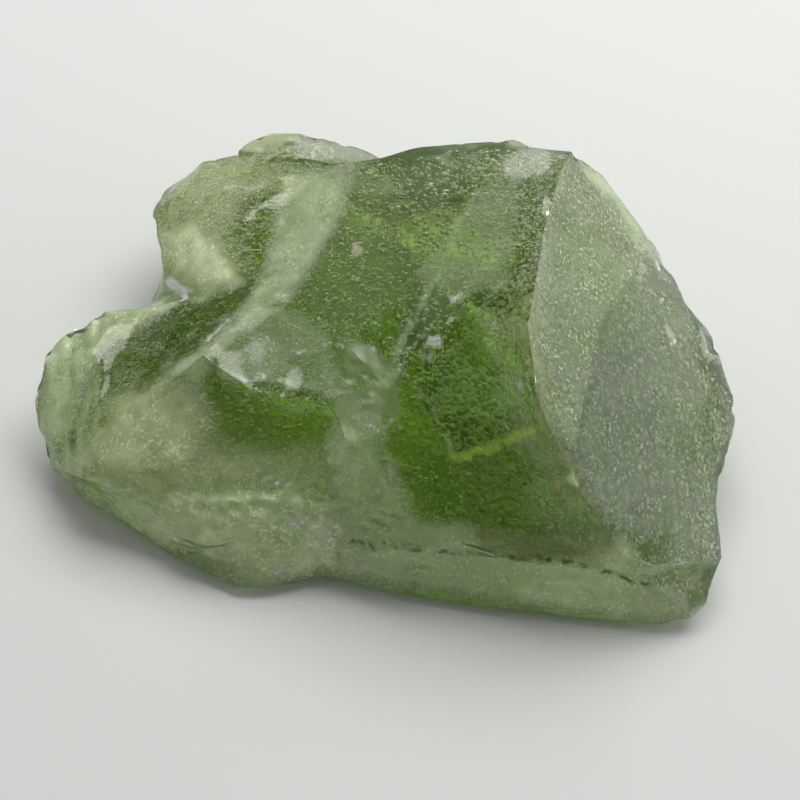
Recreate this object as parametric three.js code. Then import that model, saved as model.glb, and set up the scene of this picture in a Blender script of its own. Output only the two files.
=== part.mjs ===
// A rough lump of green volcanic glass, broken on every side.
//
// Each break is one face: a ring of corners, filled by a smooth sheet that is dished like a
// shell-shaped fracture. Faces share their corners, so together they close the stone.
// Millimetres, +Z up. The stone lies on its underside, its long way along X.

import * as THREE from 'three';
import { ImprovedNoise } from 'three/addons/math/ImprovedNoise.js';
import { mergeVertices } from 'three/addons/utils/BufferGeometryUtils.js';

const STONE_LENGTH = 60; // from the tip of the left lobe to the right rim
const LONGEST_EDGE = 2.1; // no triangle side is longer than this
const RELAX_PASSES = 160; // how often each sheet is evened out between its fixed borders
const RIB_BORDER = 0.35; // ribs fade out where the dish is shallower than this share of its depth
const LUMP_SIZE = 7.0; // width of the broad unevenness of the breaks
const LUMP_HEIGHT = 0.4;
const GRIT_SIZE = 2.6; // width of the fine unevenness
const GRIT_HEIGHT = 0.16;
const BASE_FADE = 2.5; // the unevenness dies out below this height, so the stone rests evenly
const WELD = 1e-3; // corners closer than this are one corner

const GLASS_GREEN = 0x5f8a3a;

// Corners of the breaks, [x, y, z].
const CORNERS = {
  // back brow of the top face, left to right
  brow1: [-1.5, 19.5, 17],
  brow2: [1.5, 19, 19],
  brow3: [4.5, 18.5, 20],
  brow4: [8.5, 18, 21],
  brow5: [9.5, 18, 21.5],
  brow6: [11, 17.5, 21],
  // the crest, from the back down to the front foot
  crest1: [14.5, 17, 21],
  crest2: [12.5, 10.5, 22],
  crest3: [10, -3.5, 23],
  crest4: [11.5, -9, 19.5],
  crest5: [14.5, -12.5, 13.5],
  crest6: [18.5, -15.5, 7],
  crest7: [24.5, -17.5, 1.5],
  // rim of the right face, back to front
  rim1: [17.5, 18, 16.5],
  rim2: [22.5, 14.5, 11],
  rim3: [25, 10, 8.5],
  rim4: [27.5, 7, 7.5],
  rim5: [29, 2, 6],
  nub: [29, -1, 5.5],
  rim6: [28, -3, 5.5],
  rim7: [27, -8, 4.5],
  rim8: [27, -13, 3.5],
  rim9: [25.5, -16.5, 2],
  // faint bend across the right face, and the chip at its foot
  bend1: [16.5, 1.5, 15.5],
  bend2: [14, -10.5, 15.5],
  chip1: [21, -15.5, 6.5],
  chip2: [24.5, -14, 4.5],
  // edge between the top face and the front face
  edge1: [5.5, 2.5, 19],
  edge2: [2.5, -1, 17.5],
  edge3: [-0.5, -3.5, 15],
  // the front face
  arc1: [-2, -6, 12.5],
  arc2: [-1, -10, 10.5],
  arc3: [1, -11.5, 8],
  arc4: [4, -13.5, 6.5],
  foot1: [13, -14, 7],
  // the front strip, its upper edge and its foot
  strip1: [-4.5, -12.5, 4.5],
  strip2: [0, -13.5, 5.5],
  strip3: [8.5, -14.5, 6],
  strip4: [13, -15.5, 6],
  strip5: [18, -16, 5.5],
  strip6: [21.5, -17, 3.5],
  toe1: [-5.5, -13.5, 1],
  toe2: [-3.5, -14, 1],
  toe3: [0, -15, 0.8],
  toe4: [8.5, -16.5, 0.8],
  toe5: [17, -17.5, 0.8],
  toe6: [22, -18, 1],
  // the thin flake scar on the left of the top face
  top1: [-5, 16.5, 14.5],
  flake1: [-12, 7, 12.5],
  flake2: [-8.5, 6.5, 13.5],
  flake3: [-5.5, 3, 14.5],
  flake4: [-4, 0, 15],
  flake5: [-2.5, -3, 14.5],
  flake6: [-6, -3.5, 13],
  flake7: [-9, -3, 12.5],
  flake8: [-12.5, -1.5, 12],
  flake9: [-15.5, 1, 12],
  flake10: [-16.5, 2, 12],
  step1: [-9, 6, 13],
  step2: [-6, 2.5, 14],
  step3: [-4.5, -0.5, 14.5],
  cliff1: [-15.5, 0.5, 11],
  cliff2: [-12.5, -2, 10.5],
  cliff3: [-9, -3.5, 11],
  cliff4: [-5.5, -4, 11.5],
  // the left lobe: its outline, its top and the wavy ridge across it
  lobe1: [-26, 9.5, 8],
  lobe2: [-27.5, 8, 8],
  lobe3: [-29.5, 7, 8],
  lobe4: [-31, 5.5, 7],
  lobe5: [-32, 2, 5],
  lobe6: [-31, -1, 3.5],
  lobe7: [-30.5, -3, 2],
  lobe8: [-27.5, -6, 1.5],
  lobe9: [-24, -8, 1],
  lobe10: [-20.5, -10.5, 1],
  lobe11: [-16.5, -13, 1],
  lobe12: [-13.5, -14.5, 1],
  lobe13: [-11.5, -14.5, 1],
  lobe14: [-9.5, -14, 1],
  lobe15: [-7, -13.5, 1],
  notch1: [-22, 10.5, 7.5],
  notch2: [-19, 10.5, 8.5],
  bevel1: [-25, 8, 8.5],
  bevel2: [-22, 8.5, 8.5],
  bevel3: [-19, 8.5, 9.5],
  knob1: [-26.5, 5, 8.5],
  knob2: [-25.5, -0.5, 8.5],
  ridge1: [-21, -2, 11],
  ridge2: [-25.5, -5.5, 7.5],
  ridge3: [-26, -7.5, 6.5],
  wave1: [-23, -8.5, 7],
  wave2: [-20, -8, 7.5],
  wave3: [-17, -9.5, 7.5],
  wave4: [-12.5, -10.5, 8],
  wave5: [-8.5, -9.5, 9],
  wave6: [-5.5, -9, 10],
  wave7: [-4.5, -6.5, 11.5],
  low1: [-20.5, -9.5, 3.5],
  low2: [-16.5, -12, 4],
  low3: [-13.5, -12, 4.5],
  low4: [-9, -12.5, 4],
  low5: [-6.5, -11.5, 5.5],
  // the rounded lobe at the back left
  round1: [-21, 13.5, 8],
  round2: [-22, 18, 8],
  round3: [-22.5, 21, 8],
  round4: [-21.5, 23.5, 8],
  round5: [-19.5, 25, 8.5],
  round6: [-18, 26, 9],
  round7: [-15, 26, 10],
  round8: [-11, 23, 12],
  round9: [-9, 23, 13],
  round10: [-5.5, 21, 15],
  saddle: [-15.5, 9, 10.5],
  fold1: [-14, 19.5, 12],
  fold2: [-11, 20, 12.5],
  fold3: [-9.5, 19, 13],
  fold4: [-11, 13.5, 12],
  nick: [-20, 11, 7.5],
  bulge1: [-22.5, 12.5, 5],
  bulge2: [-22, 14.5, 5],
  // the low lump behind
  back1: [-15, 29, 7],
  back2: [-14, 30, 7.5],
  back3: [-12, 30.5, 8],
  back4: [-9.5, 30, 8.5],
  back5: [-6.5, 28.5, 9],
  back6: [-3.5, 26, 10.5],
  back7: [-1.5, 23.5, 12],
  gully1: [-15, 27, 7.5],
  gully2: [-9, 25, 9],
  gully3: [-4, 23, 11],
  wall1: [15, 17, 8],
  wall2: [7.5, 19, 8.5],
  wall3: [2, 20.5, 8],
  // the underside, its outline and the keel across it
  base1: [-26.5, -4, 0],
  base2: [-21.5, -8.5, 0],
  base3: [-14.5, -13, 0],
  base4: [-7, -12.5, 0],
  base5: [0, -13.5, 0],
  base6: [10, -15.5, 0],
  base7: [20, -16.5, 0],
  base8: [25.5, -13, 0],
  base9: [26, -5, 0],
  base10: [26.5, 4, 0],
  base11: [22.5, 12, 0],
  base12: [15.5, 16.5, 0],
  base13: [2.5, 20, 0],
  base14: [-5, 27, 0],
  base15: [-13, 28.5, 0],
  base16: [-20, 22, 0],
  base17: [-20, 13.5, 0],
  base18: [-27, 6, 0],
  keel1: [11, 3, 0],
  keel2: [6, 0.5, 0],
  keel3: [3, 6, 0],
  keel4: [2.5, -6.5, 0],
};

// One break each: its ring of corners, anticlockwise from outside; dish, how deep its middle lies
// (negative swells out); and ribs, [corner they spread from, height, distance between two].
const BREAKS = [
  // right face, its outer half and the chip at its foot
  { ring: 'crest1 crest2 crest3 crest4 bend2 bend1 rim2 rim1', dish: 0.4 },
  {
    ring: 'crest4 crest5 crest6 chip1 chip2 rim8 rim7 rim6 nub rim5 rim4 rim3 rim2 bend1 bend2',
    dish: 0.3,
  },
  { ring: 'crest6 crest7 rim9 rim8 chip2 chip1', dish: 1 },
  // top face
  {
    ring:
      'brow1 top1 fold3 fold4 saddle flake1 flake2 flake3 flake4 edge3 edge2 edge1 ' +
      'crest3 crest2 crest1 brow6 brow5 brow4 brow3 brow2',
    dish: 0.6,
  },
  // front face, and the ledge and the strip at its foot
  {
    ring: 'edge1 edge2 edge3 arc1 arc2 arc3 arc4 foot1 crest6 crest5 crest4 crest3',
    dish: 0.5,
  },
  { ring: 'arc4 strip3 strip4 strip5 strip6 crest7 crest6 foot1', dish: 0.2 },
  {
    ring:
      'strip1 toe1 toe2 toe3 toe4 toe5 toe6 crest7 strip6 strip5 strip4 strip3 arc4 strip2',
    dish: 0.3,
  },
  // ramp between the front face and the left lobe
  {
    ring:
      'flake6 cliff4 wave7 wave6 low5 strip1 strip2 arc4 arc3 arc2 arc1 edge3 flake5',
    dish: 0.6,
  },
  // flake scar, its thin step and its cliff
  {
    ring:
      'flake10 flake9 flake8 flake7 flake6 flake5 step3 step2 step1 flake1',
    dish: 0.5,
  },
  { ring: 'flake1 step1 step2 step3 flake4 flake3 flake2', dish: 0 },
  { ring: 'step3 flake5 edge3 flake4', dish: 0.1 },
  { ring: 'flake10 cliff1 cliff2 cliff3 cliff4 flake6 flake7 flake8 flake9', dish: 0.1 },
  { ring: 'notch2 bevel3 flake10 flake1 saddle', dish: 0.3 },
  // left lobe
  {
    ring:
      'flake10 ridge1 ridge2 ridge3 wave1 wave2 wave3 wave4 wave5 wave6 wave7 ' +
      'cliff4 cliff3 cliff2 cliff1',
    dish: 2.6,
  },
  { ring: 'lobe1 bevel1 bevel2 bevel3 notch2 notch1', dish: 0.2 },
  { ring: 'bevel1 knob1 knob2 ridge2 ridge1 flake10 bevel3 bevel2', dish: 0.8 },
  { ring: 'lobe1 lobe2 lobe3 lobe4 knob1 bevel1', dish: 0.3 },
  {
    ring: 'lobe4 lobe5 lobe6 lobe7 ridge3 ridge2 knob2 knob1',
    dish: -0.3,
    ribs: ['knob2', 0.15, 2.6],
  },
  { ring: 'lobe7 lobe8 lobe9 lobe10 low1 wave2 wave1 ridge3', dish: 0.4 },
  { ring: 'wave2 low1 low2 low3 wave4 wave3', dish: 1.1 },
  { ring: 'wave4 low3 low4 low5 wave6 wave5', dish: 0.9 },
  { ring: 'low1 lobe10 lobe11 lobe12 lobe13 lobe14 low4 low3 low2', dish: 0.5 },
  { ring: 'low4 lobe14 lobe15 toe1 strip1 low5', dish: 0.6 },
  // rounded lobe
  {
    ring:
      'round6 round5 round4 round3 round2 round1 notch2 saddle fold4 fold3 fold2 fold1',
    dish: -1.5,
  },
  { ring: 'round7 round6 fold1 fold2 round8', dish: 0.6 },
  { ring: 'round8 fold2 fold3 top1 brow1 round10 round9', dish: 0.4 },
  { ring: 'round1 nick notch2', dish: 0 },
  { ring: 'nick round1 bulge2 bulge1 notch1 notch2', dish: 0.2 },
  // low lump behind, and the wall above it
  { ring: 'back1 gully1 gully2 gully3 back7 back6 back5 back4 back3 back2', dish: 0.3 },
  { ring: 'round7 round8 round9 round10 brow1 back7 gully3 gully2 gully1', dish: 0.2 },
  { ring: 'back1 back2 back3 back4 base14 base15', dish: 0.5 },
  { ring: 'back4 back5 back6 back7 wall3 base13 base14', dish: 0.8 },
  // back wall
  { ring: 'back7 brow1 brow2 brow3 brow4 wall2 wall3', dish: 0.8 },
  { ring: 'brow4 brow5 brow6 crest1 wall1 wall2', dish: 0.6 },
  { ring: 'wall3 wall2 wall1 base11 base12 base13', dish: -0.6 },
  { ring: 'crest1 rim1 rim2 rim3 base11 wall1', dish: 1 },
  // under the right rim
  { ring: 'rim3 rim4 rim5 base10 base11', dish: 0.6 },
  { ring: 'rim5 nub rim6 rim7 base9 base10', dish: 0.5 },
  { ring: 'rim7 rim8 rim9 base8 base9', dish: 0.3 },
  { ring: 'rim9 crest7 toe6 base7 base8', dish: 0 },
  // under the front and the lobes
  { ring: 'toe6 toe5 toe4 base6 base7', dish: 0 },
  { ring: 'toe4 toe3 base5 base6', dish: 0 },
  { ring: 'toe3 toe2 toe1 lobe15 lobe14 base4 base5', dish: 0 },
  { ring: 'lobe14 lobe13 lobe12 lobe11 base3 base4', dish: 0 },
  { ring: 'lobe11 lobe10 lobe9 base2 base3', dish: 0 },
  { ring: 'lobe9 lobe8 lobe7 base1 base2', dish: 0.2 },
  { ring: 'lobe7 lobe6 lobe5 base1', dish: 0.4 },
  { ring: 'lobe5 lobe4 lobe3 lobe2 base18 base1', dish: 0.8 },
  { ring: 'lobe2 lobe1 notch1 bulge1 bulge2 base17 base18', dish: 0.6 },
  { ring: 'bulge2 round1 round2 round3 round4 base16 base17', dish: 0.7 },
  { ring: 'round4 round5 round6 round7 gully1 back1 base15 base16', dish: 0.6 },
  // underside: a flat face at the front right, and two hollow scars that meet it at the keel
  { ring: 'base11 base10 base9 base8 base7 base6 base5 keel4 keel2 keel1', dish: 0 },
  { ring: 'base13 base12 base11 keel1 keel2 keel3', dish: 1.3 },
  {
    ring:
      'base18 base17 base16 base15 base14 base13 keel3 keel2 keel4 ' +
      'base5 base4 base3 base2 base1',
    dish: 1.6,
  },
];

const noise = new ImprovedNoise();

function cornerPoint(name) {
  return new THREE.Vector3(...CORNERS[name]);
}

// Mean outward direction of a ring of points.
function ringNormal(points) {
  const normal = new THREE.Vector3();
  points.forEach((point, i) => {
    const next = points[(i + 1) % points.length];
    normal.add(point.clone().cross(next));
  });
  return normal.normalize();
}

// Triangles that fill a ring, as triples of points.
function fillRing(points, normal) {
  const across = points[1].clone().sub(points[0]).projectOnPlane(normal).normalize();
  const up = normal.clone().cross(across);
  const flat = points.map((point) => new THREE.Vector2(point.dot(across), point.dot(up)));
  return THREE.ShapeUtils.triangulateShape(flat, []).map((face) => face.map((i) => points[i]));
}

// Halves the longest side of a triangle until no side is longer than LONGEST_EDGE.
// A side shared by two triangles is always halved at the same places.
function splitTriangle([a, b, c], out) {
  const sides = [
    [a, b, c],
    [b, c, a],
    [c, a, b],
  ];
  const [start, end, tip] = sides.reduce((longest, side) =>
    side[0].distanceTo(side[1]) > longest[0].distanceTo(longest[1]) ? side : longest,
  );
  if (start.distanceTo(end) <= LONGEST_EDGE) {
    out.push(a, b, c);
    return;
  }
  const middle = start.clone().add(end).multiplyScalar(0.5);
  splitTriangle([start, middle, tip], out);
  splitTriangle([middle, end, tip], out);
}

// Neighbours of each point of an indexed sheet, and which points lie on its border.
function sheetTopology(index, count) {
  const neighbours = Array.from({ length: count }, () => new Set());
  const sides = new Map();
  for (let i = 0; i < index.length; i += 3) {
    for (let k = 0; k < 3; k += 1) {
      const from = index[i + k];
      const to = index[i + ((k + 1) % 3)];
      neighbours[from].add(to);
      neighbours[to].add(from);
      const key = from < to ? `${from} ${to}` : `${to} ${from}`;
      sides.set(key, (sides.get(key) ?? 0) + 1);
    }
  }
  const border = new Set();
  for (const [key, uses] of sides) {
    if (uses === 1) {
      key.split(' ').forEach((i) => border.add(Number(i)));
    }
  }
  return { neighbours, border };
}

// Evens out the free points of a sheet, and gives each a depth: 0 on the border, 1 at the deepest.
function relaxSheet(points, neighbours, border) {
  const depth = points.map(() => 0);
  const free = points.map((_, i) => i).filter((i) => !border.has(i));
  for (let pass = 0; pass < RELAX_PASSES; pass += 1) {
    for (const i of free) {
      const middle = new THREE.Vector3();
      let around = 0;
      for (const j of neighbours[i]) {
        middle.add(points[j]);
        around += depth[j];
      }
      points[i].copy(middle.divideScalar(neighbours[i].size));
      depth[i] = around / neighbours[i].size + 1;
    }
  }
  const deepest = Math.max(1, ...depth);
  return depth.map((value) => value / deepest);
}

// Height of the shell-shaped ribs at a point, which spread in circles from one corner.
function ribHeight(point, depth, ribs) {
  if (!ribs) {
    return 0;
  }
  const [from, height, spacing] = ribs;
  const turns = point.distanceTo(cornerPoint(from)) / spacing;
  return height * Math.sin(turns * 2 * Math.PI) * Math.min(1, depth / RIB_BORDER);
}

// The sheet of one break, as loose triangles.
function breakSheet({ ring, dish, ribs }) {
  const corners = ring.split(' ').map(cornerPoint);
  const normal = ringNormal(corners);
  const soup = [];
  fillRing(corners, normal).forEach((face) => splitTriangle(face, soup));
  const sheet = mergeVertices(new THREE.BufferGeometry().setFromPoints(soup), WELD);
  const place = sheet.getAttribute('position');
  const points = Array.from({ length: place.count }, (_, i) =>
    new THREE.Vector3().fromBufferAttribute(place, i),
  );
  const index = [...sheet.getIndex().array];
  const { neighbours, border } = sheetTopology(index, points.length);
  const depth = relaxSheet(points, neighbours, border);
  points.forEach((point, i) => {
    point.addScaledVector(normal, ribHeight(point, depth[i], ribs) - dish * depth[i]);
  });
  return index.map((i) => points[i]);
}

// Three noise values at a point, for features of one size.
function unevenness(point, size, height) {
  const p = point.clone().divideScalar(size);
  return new THREE.Vector3(
    noise.noise(p.x, p.y, p.z),
    noise.noise(p.y + 31.4, p.z, p.x),
    noise.noise(p.z, p.x + 57.1, p.y),
  ).multiplyScalar(height);
}

// Shifts a point by the unevenness of the glass, which leaves the rim of the underside level.
function roughen(point) {
  const fade = THREE.MathUtils.smoothstep(point.z, 0, BASE_FADE);
  const shift = unevenness(point, LUMP_SIZE, LUMP_HEIGHT);
  shift.add(unevenness(point, GRIT_SIZE, GRIT_HEIGHT));
  return point.clone().addScaledVector(shift, fade);
}

// The whole stone: every sheet joined at its borders, at its real length, resting on z = 0
// with the origin under the middle of its box.
function stoneGeometry() {
  const soup = BREAKS.flatMap(breakSheet).map(roughen);
  const stone = mergeVertices(new THREE.BufferGeometry().setFromPoints(soup), WELD);
  stone.computeBoundingBox();
  const box = stone.boundingBox;
  const middle = box.getCenter(new THREE.Vector3());
  stone.translate(-middle.x, -middle.y, -box.min.z);
  const scale = STONE_LENGTH / (box.max.x - box.min.x);
  stone.scale(scale, scale, scale);
  stone.computeVertexNormals();
  return stone;
}

const glass = new THREE.MeshStandardMaterial({
  name: 'green_glass',
  color: GLASS_GREEN,
  roughness: 0.08,
  metalness: 0,
});

const obsidian = new THREE.Mesh(stoneGeometry(), glass);
obsidian.name = 'obsidian';

const group = new THREE.Group();
group.add(obsidian);

export default group;
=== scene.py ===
"""A rough lump of clear green obsidian, lying on a pale table under soft light.

Sizes and places are in millimetres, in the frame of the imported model, and become Blender's metres
where a piece, a light or the camera is made. The stone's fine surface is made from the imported
solid.
"""

import math
from collections import namedtuple

import bpy
import numpy as np
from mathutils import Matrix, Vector, kdtree, noise
from mathutils.bvhtree import BVHTree


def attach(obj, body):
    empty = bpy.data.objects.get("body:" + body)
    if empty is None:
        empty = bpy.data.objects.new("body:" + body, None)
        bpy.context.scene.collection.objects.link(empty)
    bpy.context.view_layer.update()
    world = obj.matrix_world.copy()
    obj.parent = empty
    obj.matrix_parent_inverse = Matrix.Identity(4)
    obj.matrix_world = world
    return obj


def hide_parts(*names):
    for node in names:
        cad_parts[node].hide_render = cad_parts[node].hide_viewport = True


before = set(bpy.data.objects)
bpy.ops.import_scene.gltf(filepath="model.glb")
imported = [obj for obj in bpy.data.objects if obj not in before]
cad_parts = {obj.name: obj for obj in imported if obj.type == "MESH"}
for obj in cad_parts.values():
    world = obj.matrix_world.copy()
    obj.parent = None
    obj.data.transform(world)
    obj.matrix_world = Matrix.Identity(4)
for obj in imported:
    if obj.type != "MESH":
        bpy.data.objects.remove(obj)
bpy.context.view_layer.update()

MM_PER_METRE = 1000
WHITE = (1, 1, 1, 1)

# The least length that a vector is divided by.
TINY = 1e-12


def metres(point):
    return Vector(point) / MM_PER_METRE


# ---------------------------------------------------------------- measures and noise

# Names that end in LEVELS, HEIGHTS or EDGE_FADE hold the two values at which an effect begins and
# is full. The second may be the lesser.

# Waves are smooth noise: their height, their width in mm, the noise's seed, and how closely they
# are packed along each axis.
Waves = namedtuple("Waves", "height width seed packing", defaults=((1, 1, 1),))

# A side is a direction, and the cosines between it and a normal at which an effect begins and is
# full.
Side = namedtuple("Side", "toward low high")

# How far apart in the noise one seed and the next are, along each axis.
SEED_STEPS = (17.3, 5.1, 29.7)


def smooth_step(values, low, high):
    """0 at low, 1 at high and smooth between them. High may be the lesser."""
    share = np.clip((values - low) / (high - low), 0, 1)
    return share * share * (3 - 2 * share)


def facing(normals, side):
    """1 where the surface looks to a side, fading to 0."""
    toward = np.array(side.toward, float)
    return smooth_step(normals @ (toward / np.linalg.norm(toward)), side.low, side.high)


def line_gap(points, line):
    """Distance from each point to a broken line."""
    gap = np.full(len(points), np.inf)
    for start, end in zip(line[:-1], line[1:]):
        start = np.array(start, float)
        along = np.array(end) - start
        share = np.clip((points - start) @ along / (along @ along), 0, 1)
        apart = points - start - share[:, None] * along
        gap = np.minimum(gap, np.linalg.norm(apart, axis=1))
    return gap


def outline_gap(points, outline):
    """How far each point lies outside an outline in plan, or less than 0 inside it."""
    corners = np.array(outline, float)
    gap = np.full(len(points), np.inf)
    inside = np.zeros(len(points), bool)
    x, y = points[:, 0], points[:, 1]
    for start, end in zip(corners, np.roll(corners, -1, axis=0)):
        along = end - start
        share = np.clip((points[:, :2] - start) @ along / (along @ along), 0, 1)
        apart = points[:, :2] - start - share[:, None] * along
        gap = np.minimum(gap, np.linalg.norm(apart, axis=1))
        if along[1] != 0:
            crossed = (start[1] > y) != (end[1] > y)
            inside ^= crossed & (x < start[0] + (y - start[1]) * along[0] / along[1])
    return np.where(inside, -gap, gap)


def distance_to(points, others):
    """Distance from each point to the nearest of the others."""
    tree = kdtree.KDTree(len(others))
    for i, other in enumerate(others):
        tree.insert(other, i)
    tree.balance()
    return np.array([tree.find(p)[2] for p in points])


def noise_at(points, size, seed):
    """Smooth noise from about -1 to 1 at each point, with features about size mm wide."""
    offset = Vector([seed * step for step in SEED_STEPS])
    return np.array([noise.noise(Vector(p) / size + offset) for p in points])


def wave_noise(points, waves):
    return noise_at(points * np.array(waves.packing), waves.width, waves.seed)


def wave_sum(points, layers, start=0):
    """Height of some layers of waves at each point, over a start."""
    return sum((waves.height * wave_noise(points, waves) for waves in layers), start)


# ---------------------------------------------------------------- meshes


def face_normals(points, faces):
    a, b, c = (points[faces[:, k]] for k in range(3))
    cross = np.cross(b - a, c - a)
    return cross / np.maximum(np.linalg.norm(cross, axis=1, keepdims=True), TINY)


def point_normals(points, faces):
    """Normals at the corners, where larger faces count for more."""
    normals = np.zeros_like(points)
    a, b, c = (points[faces[:, k]] for k in range(3))
    cross = np.cross(b - a, c - a)
    for k in range(3):
        np.add.at(normals, faces[:, k], cross)
    return normals / np.maximum(np.linalg.norm(normals, axis=1, keepdims=True), TINY)


def edge_table(faces):
    """Edges of a closed mesh, the edge of each face side, and each edge's far corners and faces."""
    sides = np.concatenate([faces[:, [0, 1]], faces[:, [1, 2]], faces[:, [2, 0]]])
    far = np.concatenate([faces[:, 2], faces[:, 0], faces[:, 1]])
    edges, of_side = np.unique(np.sort(sides, axis=1), axis=0, return_inverse=True)
    of_side = of_side.reshape(-1)
    order = np.argsort(of_side, kind="stable").reshape(-1, 2)
    return edges, of_side.reshape(3, -1).T, far[order], order % len(faces)


def edge_keys(edges, count):
    """One number for each edge of a mesh with this many corners."""
    edges = np.sort(edges, axis=1)
    return edges[:, 0] * count + edges[:, 1]


def quartered(faces, of_side, count):
    """Each triangle as four, with the middles of its sides as new corners."""
    a, b, c = (faces[:, k] for k in range(3))
    ab, bc, ca = (of_side[:, k] + count for k in range(3))
    quarters = ((a, ab, ca), (b, bc, ab), (c, ca, bc), (ab, bc, ca))
    return np.concatenate([np.stack(quarter, axis=1) for quarter in quarters])


def refine(points, faces, creases):
    """One step of Loop subdivision that keeps creases sharp, and the new creases."""
    count = len(points)
    edges, of_side, far, _ = edge_table(faces)
    sharp = np.isin(edge_keys(edges, count), edge_keys(creases, count))
    ends = points[edges[:, 0]] + points[edges[:, 1]]
    across = points[far[:, 0]] + points[far[:, 1]]
    middles = np.where(sharp[:, None], ends / 2, ends * 3 / 8 + across / 8)

    valence = np.bincount(edges.ravel(), minlength=count)
    around = np.zeros_like(points)
    along = np.zeros_like(points)
    for here, there in ((0, 1), (1, 0)):
        np.add.at(around, edges[:, here], points[edges[:, there]])
        np.add.at(along, edges[sharp, here], points[edges[sharp, there]])
    sharp_count = np.bincount(edges[sharp].ravel(), minlength=count)
    weight = (5 / 8 - (3 / 8 + np.cos(2 * np.pi / valence) / 4) ** 2) / valence
    smooth = points * (1 - valence * weight)[:, None] + around * weight[:, None]
    moved = np.where((sharp_count < 2)[:, None], smooth, points)
    moved = np.where((sharp_count == 2)[:, None], points * 3 / 4 + along / 8, moved)

    middle_ids = np.nonzero(sharp)[0] + count
    new_creases = np.concatenate(
        [np.stack([edges[sharp, k], middle_ids], axis=1) for k in range(2)]
    )
    return np.concatenate([moved, middles]), quartered(faces, of_side, count), new_creases


def mesh_object(name, points, faces):
    """A piece from points in mm and triangles."""
    mesh = bpy.data.meshes.new(name)
    mesh.vertices.add(len(points))
    places = (np.asarray(points) / MM_PER_METRE).astype(np.float32)
    mesh.vertices.foreach_set("co", places.ravel())
    mesh.loops.add(len(faces) * 3)
    mesh.loops.foreach_set("vertex_index", np.asarray(faces, np.int32).ravel())
    mesh.polygons.add(len(faces))
    mesh.polygons.foreach_set("loop_start", np.arange(0, len(faces) * 3, 3, dtype=np.int32))
    mesh.polygons.foreach_set("use_smooth", np.ones(len(faces), bool))
    mesh.update(calc_edges=True)
    mesh.validate()
    piece = bpy.data.objects.new(name, mesh)
    bpy.context.scene.collection.objects.link(piece)
    return piece


# ---------------------------------------------------------------- fine surface

# Corners that agree to this many decimals of a mm are joined. Edges over the crease angle stay
# crisp as the solid is refined, and edges over the sharp angle are shaded crisp.
JOIN_DECIMALS = 4
CREASE_ANGLE = math.radians(22)
SHARP_ANGLE = math.radians(32)
REFINE_STEPS = 2

# Ridges on one slope are rubbed down.
WORN_SLOPE = [
    (-24, -9.5), (-20.5, -6.5), (-17, -6), (-13, -7.5), (-8, -9.5), (-4, -11), (-3, -15.5),
    (-6, -18), (-12, -18), (-18, -16.5), (-25, -15),
]
WEAR_STEPS = 12
WEAR_SHARE = 0.5
WEAR_EDGE_FADE = (0, -1.2)
WEAR_HEIGHTS = (1.5, 3)

# The relief is full at this height above the table and this far from a crease. All the faces have
# a soft swell.
FULL_RELIEF_HEIGHT = 1.5
FULL_RELIEF_INSET = 1.5
SWELL = (Waves(0.10, 4.2, 1), Waves(0.04, 1.7, 2))

# Chips where the noise is over their level. They fade with the distance to a crease.
EDGE_CHIPS = Waves(0.45, 1.3, 3)
CHIP_LEVEL = 0.12
CHIP_REACH = 0.55

# Upright ribs on the left end. They begin at this x and are full this far beyond it.
LEFT_END_RIBS = Waves(0.28, 3.0, 4, (3.2, 0.8, 0.8))
LEFT_END_START = -23.0
LEFT_END_DEPTH = 2.0

# Uneven breaks on the back wall, and ridges on the crushed slopes.
BACK_WALL = Side((0.2, 1, 0), 0.3, 0.6)
BACK_BREAKS = (Waves(0.40, 4.5, 6), Waves(0.22, 1.6, 7))
RIDGES = Waves(0.5, 1.5, 5, (1, 1, 1.6))
RIDGE_LIFT = 0.18
RIDGE_EDGE_FADE = (0.5, -1)
CRUSHED_SLOPES = (
    [(-26, -12), (-20, -13.5), (-14, -14.5), (-4, -14.5), (1, -15), (5, -20), (-3, -23),
     (-26, -20)],
    [(-3.4, -4.5), (-0.5, -6), (1.5, -8.5), (1.5, -12), (-1.7, -11), (-2.9, -8)],
    [(-14, 20), (-4, 20), (-2, 27), (-14, 27)],
)


def packed_surface(name):
    """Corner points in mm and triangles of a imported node, with doubled corners joined."""
    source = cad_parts[name].data
    points = np.empty(len(source.vertices) * 3)
    source.vertices.foreach_get("co", points)
    points = np.round(points.reshape(-1, 3) * MM_PER_METRE, JOIN_DECIMALS)
    source.calc_loop_triangles()
    faces = np.empty(len(source.loop_triangles) * 3, int)
    source.loop_triangles.foreach_get("vertices", faces)
    points, same = np.unique(points, axis=0, return_inverse=True)
    return points, same.reshape(-1)[faces].reshape(-1, 3)


def find_creases(points, faces):
    """Edges whose two faces meet at more than the crease angle, except on the worn slope."""
    edges, _, _, of_edge = edge_table(faces)
    normals = face_normals(points, faces)
    turn = np.einsum("ij,ij->i", normals[of_edge[:, 0]], normals[of_edge[:, 1]])
    edges = edges[turn < math.cos(CREASE_ANGLE)]
    worn = outline_gap(points, WORN_SLOPE) < 0
    return edges[~worn[edges].all(axis=1)]


def wear(points, faces):
    """Points with the ridges of the worn slope rubbed down toward their neighbours."""
    edges = edge_table(faces)[0]
    valence = np.bincount(edges.ravel(), minlength=len(points))[:, None]
    share = WEAR_SHARE * smooth_step(outline_gap(points, WORN_SLOPE), *WEAR_EDGE_FADE)
    share *= smooth_step(points[:, 2], *WEAR_HEIGHTS)
    for _ in range(WEAR_STEPS):
        around = np.zeros_like(points)
        for here, there in ((0, 1), (1, 0)):
            np.add.at(around, edges[:, here], points[edges[:, there]])
        points = points + (around / valence - points) * share[:, None]
    return points


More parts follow.
